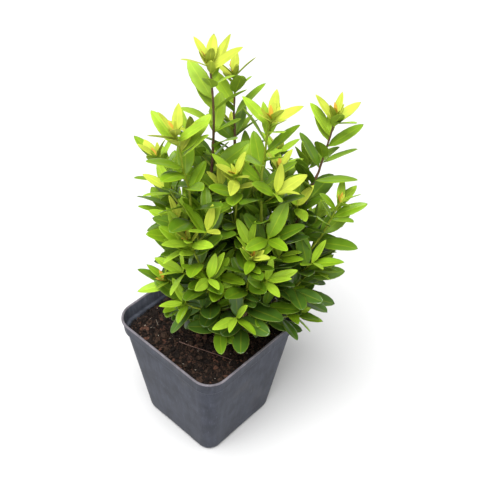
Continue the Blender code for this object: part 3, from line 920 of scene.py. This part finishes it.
def pot_look(name, dark, light, roughness):
    """Moulded plastic: mottled, with upright streaks, fine scratches and some dust."""
    look = Look(name, roughness, POT_GLOSS)
    tone = look.layer((*dark, 1.0), look.noise(95.0, 10.0), 0.31, 0.71, 1.0, light)
    # Noise; where the layer starts and ends; its share; its colour
    layers = (
        ((300.0, 6.0, 0.12), 0.52, 0.74, 0.45, shade(light, 1.35)),
        ((300.0, 6.0, 0.12), 0.47, 0.28, 0.40, shade(dark, 0.65)),
        ((1100.0, 2.0, 0.05), 0.62, 0.74, 0.40, shade(light, 2.0)),
        ((34.0, 9.0), 0.58, 0.76, 0.30, DUST),
    )
    for marks, *layer in layers:
        tone = look.layer(tone, look.noise(*marks), *layer)
    look.paint(tone)
    look.bump(look.noise(1400.0, 2.0), 0.18, 0.00012)
    return look.made


def cut_drains(pot):
    """Cut the drain holes through the floor of the pot."""
    drains = Pile()
    for x in DRAIN_GRID:
        for y in DRAIN_GRID:
            if x or y:
                path = [Vector((x, y, height)) for height in DRAIN_REACH]
                drains.add_plain(tube(path, (DRAIN_RADIUS, DRAIN_RADIUS), DRAIN_SIDES))
    cutter = put("drains", mesh_of("drains", drains.points, drains.faces))
    change = pot.modifiers.new("drains", "BOOLEAN")
    change.object = cutter
    change.solver = "EXACT"
    done = bpy.data.meshes.new_from_object(pot.evaluated_get(bpy.context.evaluated_depsgraph_get()))
    pot.modifiers.clear()
    pot.data = done
    bpy.data.objects.remove(cutter)


def make_pot():
    rings = [square_ring(*level) for level in POT_OUTSIDE + POT_INSIDE]
    inner_from = len(POT_OUTSIDE) * len(rings[0])
    points, faces = loft(rings)
    slots = []
    for corners in faces:
        edge = min(points[corner].z for corner in corners) >= EDGE_FROM
        # Slot 2, the inside, is the same plastic painted lighter: painted light
        slots.append(1 if edge else 2 * (min(corners) >= inner_from))
    pile = Pile()
    pile.add(points, faces, slots)
    pot = pile.piece("pot_shell", [pot_look(*tone) for tone in PLASTICS], "slate_plastic", ["pot"])
    cut_drains(pot)
    pot.data.set_sharp_from_angle(angle=math.radians(POT_CREASE))


def soil_height(x, y):
    """Lumpy soil that lies level and a little lower round the woody foot."""
    lumps = sum(share * noise.noise(Vector((x, y, seed)) * pace) for pace, share, seed in SOIL_WAVES)
    away = math.hypot(x - FOOT.x, y - FOOT.y)
    share = min(max((away - SOIL_LEVEL) / SOIL_LEVEL, 0.0), 1.0)
    return SOIL_TOP + share * (SOIL_LUMPS * lumps - GAP)


def peat_at(x, y):
    """Height and tone of the peat: lumps, each with its own tone, and gaps painted black as painted
    shade.
    """
    spot = Vector((x, y, 0.0))
    pace, reach = PEAT_SWAY
    sway = Vector((noise.noise(spot * pace), noise.noise(spot * pace + UP * 4.0), 0.0))
    relief = PEAT_GRAIN[1] * noise.noise(spot * PEAT_GRAIN[0])
    for size, tall in PEAT_LUMPS:
        far, middles = noise.voronoi((spot + sway * reach) / size)
        relief += tall * (PEAT_TOP - (far[0] / far[1]) ** 2)
    tone = noise.cell(middles[0] * 7.3)
    slot = sum(1 for share in PEAT_TONES if tone > share)
    # Faces deep in the gaps get the black peat as painted shade
    return soil_height(x, y) + relief, slot if relief > PEAT_SHADE_DEPTH else 0


def on_outline(x, y):
    """A point of the square grid, moved in where the grid's corners are rounded."""
    inner = SOIL_HALF - SOIL_CORNER
    level = max(abs(x), abs(y)) / SOIL_HALF
    if min(abs(x), abs(y)) <= inner * level:
        return x, y
    corner = Vector((math.copysign(inner, x), math.copysign(inner, y)))
    spot = corner + (Vector((x, y)) / level - corner).normalized() * SOIL_CORNER
    return spot.x * level, spot.y * level


def peat_surface():
    """The soil's top as a fine grid, with a skirt down into the body below."""
    count = SOIL_GRID + 1
    steps = spaced(-SOIL_HALF, SOIL_HALF, SOIL_GRID)
    spots = [on_outline(x, y) for y in steps for x in steps]
    heights, tones = zip(*[peat_at(*spot) for spot in spots])
    points = [Vector((*spot, height)) for spot, height in zip(spots, heights)]
    inside = [first for first in range(count * SOIL_GRID) if first % count < SOIL_GRID]
    faces = [(first, first + 1, first + count + 1, first + count) for first in inside]
    slots = [tones[first] for first in inside]
    edge = [spot for spot in range(len(points)) if {0, SOIL_GRID} & {*divmod(spot, count)}]
    edge.sort(key=lambda spot: math.atan2(*spots[spot]))
    low = len(points)
    points.extend(Vector((*spots[spot], SOIL_SKIRT)) for spot in edge)
    for place, spot in enumerate(edge):
        after = (place + 1) % len(edge)
        faces.append((spot, edge[after], low + after, low + place))
    faces.append(tuple(range(low, len(points))))
    return points, faces, slots + [0] * (len(faces) - len(slots))


def make_soil():
    pile = Pile()
    pile.add_plain(loft([square_ring(*level) for level in SOIL_BODY]))
    pile.add(*peat_surface())
    soil = pile.piece("soil_bed", [peat_look(*tone) for tone in BED_TONES], "peat", ["soil"])
    soil.data.set_sharp_from_angle(angle=math.radians(SOIL_CREASE))


def grain_model(steps):
    """A unit grain; more steps make it rounder."""
    shape = bmesh.new()
    bmesh.ops.create_icosphere(shape, subdivisions=steps, radius=1.0)
    points = [vert.co.copy() for vert in shape.verts]
    faces = [tuple(vert.index for vert in face.verts) for face in shape.faces]
    shape.free()
    return points, faces


def crumb(rng, model, centre, size, drawn):
    """An uneven grain, lump or splinter of peat."""
    points, faces = model
    turn = Matrix.Rotation(rng.uniform(0.0, 2.0 * math.pi), 3, "Z")
    turn = turn @ Matrix.Rotation(rng.uniform(-GRAIN_TILT, GRAIN_TILT), 3, "X")
    reach = Vector([rng.uniform(*span) for span in GRAIN_SHAPE]) * size
    reach.x *= drawn
    seed = rng.uniform(0.0, 90.0)
    corners = []
    for point in points:
        swell = 1.0 + GRAIN_SWELL[1] * noise.noise(point * GRAIN_SWELL[0] + UP * seed)
        corners.append(centre + turn @ Vector([a * b * swell for a, b in zip(point, reach)]))
    return corners, faces


def make_grains():
    """Loose grains, lumps, splinters and threads of peat."""
    rng = random.Random(7)
    pile = Pile()
    for count, steps, least, most, drawn, shares in GRAINS:
        model = grain_model(steps)
        for _ in range(count):
            size = least + (most - least) * rng.random() ** 2
            limit = SOIL_HALF - GRAIN_MARGIN - 1.5 * size * drawn
            x, y = on_outline(rng.uniform(-limit, limit), rng.uniform(-limit, limit))
            centre = Vector((x, y, peat_at(x, y)[0] + GRAIN_SEAT * size))
            tone = rng.choices(range(len(shares)), shares)[0]
            pile.add_plain(crumb(rng, model, centre, size, drawn), tone)
    pile.piece("soil_crumbs", [peat_look(*tone) for tone in GRAIN_TONES], "peat", smooth=False)


def make_dead_twig():
    course = [Vector((*spot, SOIL_TOP + DEAD_LIFT)) for spot in DEAD_TWIG]
    path = [bezier(*course, share) for share in spaced(0.0, 1.0, DEAD_STEPS)]
    pile = Pile()
    pile.add_plain(tube(path, spaced(*DEAD_RADII, DEAD_STEPS), TWIG_SIDES))
    pile.piece("dead_twig", [bark_look(*DEAD_TONE)], "peat")


def rough_limb(pile, path, radii, sides, marks, relief):
    """A limb with bark relief and slight nodes; its slots change at the marks."""
    lengths = path_lengths(path)
    steps = max(4, int(lengths[-1] / LIMB_STEP))
    fine = []
    widths = []
    for step in range(steps + 1):
        distance = lengths[-1] * min(step / steps, 0.999999)
        fine.append(along_path(path, distance)[0])
        node = max(0.0, math.cos(2.0 * math.pi * distance / NODE_SPACING)) ** NODE_SHARPNESS
        widths.append(float(np.interp(distance, lengths, radii)) * (1.0 + NODE_SWELL * node))
    points, faces = tube(fine, widths, sides)
    rough = []
    for place, point in enumerate(points):
        centre = fine[place // sides]
        swell = sum(share * noise.noise(point * pace) for pace, share in BARK_WAVES)
        rough.append(centre + (point - centre) * (1.0 + relief * swell))
    shares = [min(corners) / len(points) for corners in faces]
    pile.add(rough, faces, [sum(1 for mark in marks if share > mark) for share in shares])


def make_wood(plans, growths):
    looks = [bark_look(*tone) for tone in BARK_TONES]
    stems = Pile()
    for plan in plans:
        first = plan.bough[0]
        seat = first - (plan.bough[1] - first).normalized() * SEAT_DEPTH
        path = [seat] + plan.bough[:-1] + plan.leafy
        radii = [SEAT_SWELL * plan.bough_radii[0]] + plan.bough_radii[:-1] + plan.leafy_radii
        marks = BARK_MARKS[plan.kind] + (RED_FROM,) * (plan.name in RED_SHOOTS)
        rough_limb(stems, path, radii, LIMB_SIDES, marks, BARK_RELIEF[0])
    stems.piece("stems", looks, "young_bark", ["stem_" + plan.name for plan in plans])
    twigs = Pile()
    for growth in growths:
        for limb in growth.twigs:
            rough_limb(twigs, *limb, TWIG_SIDES, ALL_GREEN, BARK_RELIEF[1])
    twigs.piece("side_twigs", looks, "young_bark", ["foliage_" + plan.name for plan in plans])


def make_crown():
    """The woody foot with ribs, knots and bark relief."""
    rings = []
    levels, *shapes = zip(*CROWN_RINGS)
    for height in spaced(0.0, levels[-1], CROWN_STEPS):
        radius, rib = [float(np.interp(height, levels, shape)) for shape in shapes]
        ring = []
        for place in range(CROWN_SIDES):
            turn = 360.0 * place / CROWN_SIDES
            out = heading(turn)
            spot = out * KNOT_GRID[0] + UP * (height * KNOT_GRID[1])
            knots = sum(tall * noise.noise(spot * pace) for pace, tall in KNOTS)
            swell = 1.0 + rib * math.cos(CROWN_RIBS * math.radians(turn)) + knots
            ring.append(FOOT + out * (radius * swell) + UP * height)
        rings.append(ring)
    pile = Pile()
    pile.add_plain(loft(rings))
    pile.piece("woody_foot", [bark_look(*FOOT_TONE)], "old_bark", ["root_crown"])


def half_width(share, half, blunt):
    """Half the width of a leaf at a share of its length: a stalk, then an ellipse."""
    if share <= STALK_END:
        return STALK_HALF
    u = (share - STALK_END) / (1.0 - STALK_END)
    if u >= 1.0:
        return 0.0
    near = graded(BASE_POWER, blunt)
    far = graded(TIP_POWER, blunt)
    peak = (near / (near + far)) ** near * (far / (near + far)) ** far
    return max(STALK_HALF * (1.0 - u), half * u ** near * (1.0 - u) ** far / peak)


def leaf_course(rng, root, along, face, length, age):
    """A leaf's stations, its tip, and the function that gives its points."""
    roll = rng.gauss(0.0, LEAF_ROLL)
    across = swing(along.cross(face).normalized(), face, roll).normalized()
    face = across.cross(along).normalized()
    blunt = min(max(age, 0.0), 1.0)
    shape = YOUNG_SHAPE + (OLD_SHAPE - YOUNG_SHAPE) * blunt
    half = 0.5 * shape * length * rng.uniform(*WIDTH_CHANCE)
    droop, twist, fold, ripple = [rng.uniform(*span) for span in BLADE_CHANCES]
    stations = FEW_STATIONS if length < SMALL_LEAF else STATIONS

    def spot(row, column, side):
        """A point on the blade's upper or lower face or on its margin."""
        start = stations[row]
        share = start + VEIN_SKEW * abs(column) * math.sin(math.pi * start)
        wide = half_width(share, half, blunt)
        if row > 1 and row % 2 == 0 and abs(column) == 1:
            wide *= TOOTH
        out = swing(across, face, twist * share)
        upward = swing(face, -across, twist * share)
        lift = wide * (fold * abs(column) - CUPPING * column * column) + side * SKIN
        lift += RIPPLE * wide * column * math.sin(RIPPLE_PACE * share + ripple)
        if abs(column) < RIB_ZONE:
            lift -= RIB_GROOVE
        elif abs(column) < VEIN_ZONE and row > 1:
            lift += VEIN_RELIEF * (1.0 if row % 2 else -1.0)
        centre = root + along * (share * length) - face * (droop * length * share * share)
        return centre + out * (wide * column) + upward * lift

    return stations, root + (along - face * droop) * length, spot


def fine_leaf(pile, rng, *growing):
    """One closed leaf: stalk, folded blade, fine teeth, veins, rib and margin."""
    stations, tip, spot = leaf_course(rng, *growing)
    rows = len(stations) - 1
    points = [spot(row, *place) for row in range(rows) for place in LEAF_RING]
    count = len(LEAF_RING)
    faces = [tuple(reversed(range(count)))]
    slots = [1]
    for row in range(rows):
        low = row * count
        for place in range(count):
            after = (place + 1) % count
            ends = (low + count + after, low + count + place) if row < rows - 1 else (len(points),)
            faces.append((low + place, low + after, *ends))
            # Slot 1 paints rib, stalk and margin paler; on the margin this is partly a painted
            # highlight
            slots.append(1 if row < 2 else LEAF_SLOTS[place])
    pile.add(points + [tip], faces, slots)


def tint_of(age, high, rng):
    """Young leaves at high tips are yellow, old ones low down are deep green."""
    mark = age + rng.uniform(-TINT_CHANCE, TINT_CHANCE) - TINT_BY_HEIGHT * (high - TINT_LEVEL)
    for tint, most in TINT_MARKS:
        if mark < most:
            return tint
    return "deep"


def add_buds(piles, rng, plan):
    """Tiny folded leaves round the growing tip."""
    tip = plan.leafy[-1]
    stem = (tip - plan.leafy[-2]).normalized()
    for place in range(BUDS):
        out = around(stem, BUD_TURN * place + rng.uniform(*BUD_CHANCE))
        along = (stem + out * rng.uniform(*BUD_SPREAD)).normalized()
        face = (stem - along * stem.dot(along)).normalized()
        pile = piles["bud" if place < BUDS // 2 else "yellow"]
        fine_leaf(pile, rng, tip - stem * BUD_SEAT, along, face, rng.uniform(*BUD_LENGTH), 0.0)


def make_leaves(plans, growths):
    rng = random.Random(42)
    piles = {tint: Pile() for tint in LEAF_LOOKS}
    for plan, growth in zip(plans, growths):
        for root, along, face, length, age in growth.dressed:
            tint = tint_of(age, root.z - SOIL_TOP, rng)
            fine_leaf(piles[tint], rng, root, along, face, length, age)
        add_buds(piles, rng, plan)
    names = ["foliage_" + plan.name for plan in plans]
    for tint, pile in piles.items():
        slot, face, rough, gloss = LEAF_LOOKS[tint]
        looks = (
            leaf_look("leaf_" + tint + "_face", face, rough, gloss),
            leaf_look("leaf_" + tint + "_rib_and_margin_highlight", shade(face, *RIB_AND_MARGIN_HIGHLIGHT_TONE), rough + RIB_ROUGHER, gloss),
            leaf_look("leaf_" + tint + "_under", shade(face, *UNDER_TONE), rough + DULLER, UNDER_GLOSS),
        )
        pile.piece("leaves_" + tint, looks, slot, names)


def make_camera():
    camera = put("camera", bpy.data.cameras.new("camera"))
    camera.data.sensor_width = SENSOR
    camera.data.lens = LENS
    camera.matrix_world = Matrix.Translation(EYE) @ Matrix(VIEW).transposed().to_4x4()
    bpy.context.scene.camera = camera
    # Keeps the yellow of the young leaves vivid
    bpy.context.scene.view_settings.view_transform = "Standard"


def make_lights():
    for name, place, size, power in LIGHTS:
        light = put(name, bpy.data.lights.new(name, "AREA"))
        light.data.size = size
        light.data.energy = power
        light.location = place
        light.rotation_euler = (LIGHT_AIM - Vector(place)).to_track_quat("-Z", "Y").to_euler()
    world = bpy.data.worlds.new("studio")
    bpy.context.scene.world = world
    world.use_nodes = True
    sky = world.node_tree.nodes["Background"]
    sky.inputs["Color"].default_value = (1.0, 1.0, 1.0, 1.0)
    sky.inputs["Strength"].default_value = WORLD_LIGHT


def make_floor():
    corners = [(x * FLOOR, y * FLOOR, 0.0) for x, y in ((-1, -1), (1, -1), (1, 1), (-1, 1))]
    floor = put("floor", mesh_of("floor", corners, [(0, 1, 2, 3)]))
    look = Look("pale_floor", 0.9, 0.5)
    look.shader.inputs["Base Color"].default_value = FLOOR_COLOUR
    floor.data.materials.append(look.made)


make_camera()
make_lights()
make_floor()
make_pot()
make_soil()
make_grains()
make_dead_twig()
all_plans, all_growths = grow_all()
make_crown()
make_wood(all_plans, all_growths)
make_leaves(all_plans, all_growths)
